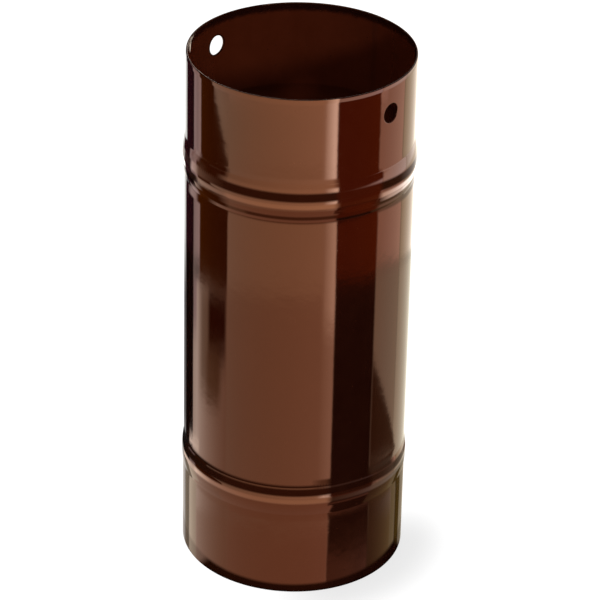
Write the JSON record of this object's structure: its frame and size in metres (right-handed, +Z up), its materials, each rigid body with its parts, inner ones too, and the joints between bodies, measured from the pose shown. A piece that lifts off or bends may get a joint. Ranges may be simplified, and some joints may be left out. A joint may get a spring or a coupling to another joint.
{
  "type": "stove pipe",
  "caption": "Short straight length of round stove pipe in glossy brown enamelled sheet steel, with a rolled bead near each end, a spigot end and a socket end.",
  "frame": {"origin": "centre of the base rim, on the pipe's axis, where the pipe stands on the floor", "axes": "+Z up along the pipe's axis towards the spigot end, X through the two opposite holes, +Y towards the lengthwise weld"},
  "size_m": [0.104, 0.104, 0.25],
  "materials": {
    "enamel": "glossy dark brown vitreous enamel, fused on sheet steel inside and out"
  },
  "bodies": {
    "root": {"stove_pipe": "enamel"}
  },
  "joints": []
}
